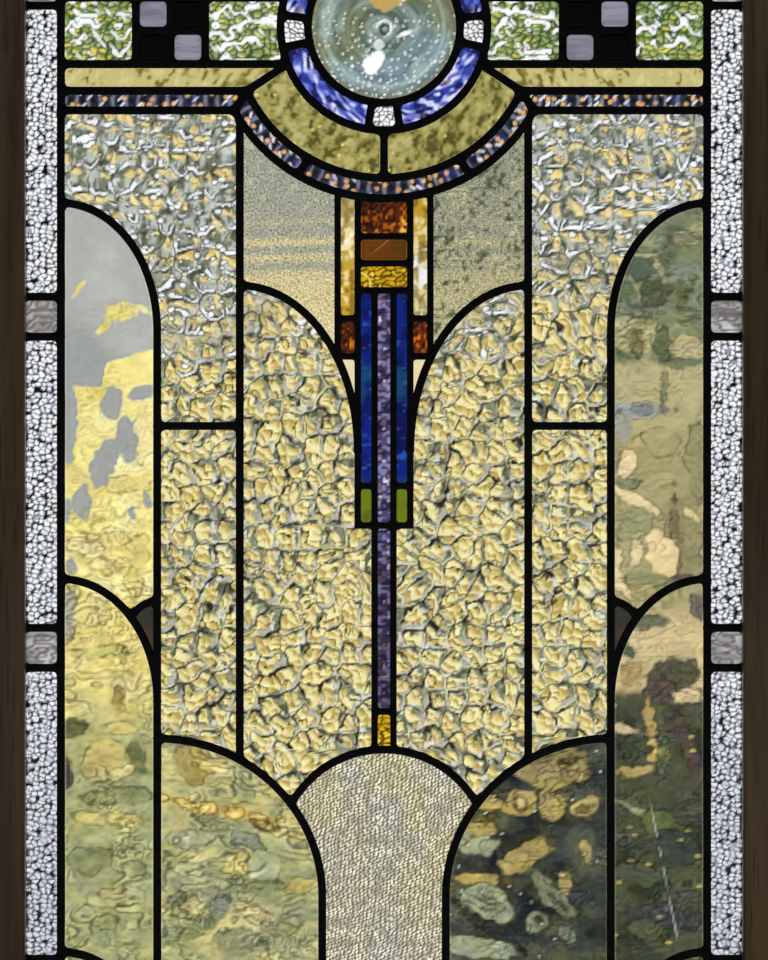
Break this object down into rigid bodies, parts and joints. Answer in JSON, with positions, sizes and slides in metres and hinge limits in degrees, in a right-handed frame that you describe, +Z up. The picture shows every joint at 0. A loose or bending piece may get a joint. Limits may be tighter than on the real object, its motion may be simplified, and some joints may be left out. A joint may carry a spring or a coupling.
{
  "type": "stained glass window",
  "caption": "Leaded stained glass window: textured clear and coloured panes in a net of lead came, held in the groove of a wooden frame that is built into an opening.",
  "frame": {"origin": "middle of the frame's underside, the face it stands on", "axes": "+X to the right seen from the front, +Y through the window from front to back, +Z up"},
  "size_m": [0.636, 0.036, 1.114],
  "materials": {
    "frame_wood": "dark brown stain under a thin satin varnish",
    "lead": "lead came, blackened with patina, dull, with tinned solder at the joints",
    "hammered_clear_glass": "clear, pressed all over with rounded cells of small facets",
    "granite_clear_glass": "clear, with a fine pitted grain",
    "wavy_clear_glass": "clear hand-rolled glass with long soft waves, faint yellow-green tint",
    "pinhead_clear_glass": "clear, with close rows of small raised beads",
    "border_glass": "clear, covered with small raised pebbles",
    "opal_glass": "opalescent white and mauve-grey with wisps",
    "green_glass": "rippled streaky green with white and yellow",
    "lavender_glass": "opalescent lavender-grey, fine streaks",
    "black_glass": "opaque black, fire-polished",
    "olive_glass": "hammered olive, with fine seeds and scratches",
    "slate_glass": "slate-indigo cross-reeded glass with amber flecks",
    "roundel_glass": "spun crown roundel, pale grey-green, with swirls, seeds and a pontil mark",
    "cobalt_glass": "cobalt blue with white-lilac streaks",
    "jewel_glass": "white crackled glass",
    "rust_glass": "rust red-brown with orange flecks",
    "amber_glass": "golden amber fading to clear",
    "blue_glass": "deep blue with teal streaks",
    "lime_glass": "lime-olive, smooth",
    "purple_glass": "purple cross-ribbed glass with pink and blue lights",
    "charcoal_glass": "smoky charcoal, smooth"
  },
  "bodies": {
    "root": {"arch_high_left": "wavy_clear_glass", "arch_high_right": "wavy_clear_glass", "arch_key_left": "charcoal_glass", "arch_key_right": "charcoal_glass", "arch_low_left": "wavy_clear_glass", "arch_low_right": "wavy_clear_glass", "arch_middle_left": "wavy_clear_glass", "arch_middle_right": "wavy_clear_glass", "border_bottom": "border_glass", "border_left": "border_glass", "border_right": "border_glass", "border_top": "border_glass", "centre_field_left": "hammered_clear_glass", "centre_field_right": "hammered_clear_glass", "checker_left": "lavender_glass", "checker_right": "lavender_glass", "column_amber_left": "amber_glass", "column_amber_right": "amber_glass", "column_blocks": "rust_glass", "column_blue_left": "blue_glass", "column_blue_right": "blue_glass", "column_spine": "purple_glass", "fan_lower_left": "olive_glass", "fan_lower_right": "olive_glass", "fan_rim_lower": "slate_glass", "fan_rim_upper": "slate_glass", "fan_upper_left": "olive_glass", "fan_upper_right": "olive_glass", "flank_field_left": "hammered_clear_glass", "flank_field_right": "hammered_clear_glass", "grain_panel_left": "granite_clear_glass", "grain_panel_right": "granite_clear_glass", "green_inner_left": "green_glass", "green_inner_right": "green_glass", "green_outer_left": "green_glass", "green_outer_right": "green_glass", "head_centre_left": "granite_clear_glass", "head_centre_right": "granite_clear_glass", "head_field_left": "hammered_clear_glass", "head_field_right": "hammered_clear_glass", "lead_came": "lead", "olive_strip_lower_left": "olive_glass", "olive_strip_lower_right": "olive_glass", "olive_strip_upper_left": "olive_glass", "olive_strip_upper_right": "olive_glass", "rail_bottom": "frame_wood", "rail_top": "frame_wood", "ring": "cobalt_glass", "roundel": "roundel_glass", "shoulder_field_left": "hammered_clear_glass", "shoulder_field_right": "hammered_clear_glass", "slate_strip_lower_left": "slate_glass", "slate_strip_lower_right": "slate_glass", "slate_strip_upper_left": "slate_glass", "slate_strip_upper_right": "slate_glass", "stem": "pinhead_clear_glass", "stile_left": "frame_wood", "stile_right": "frame_wood", "wave_left": "wavy_clear_glass", "wave_right": "wavy_clear_glass"}
  },
  "joints": []
}
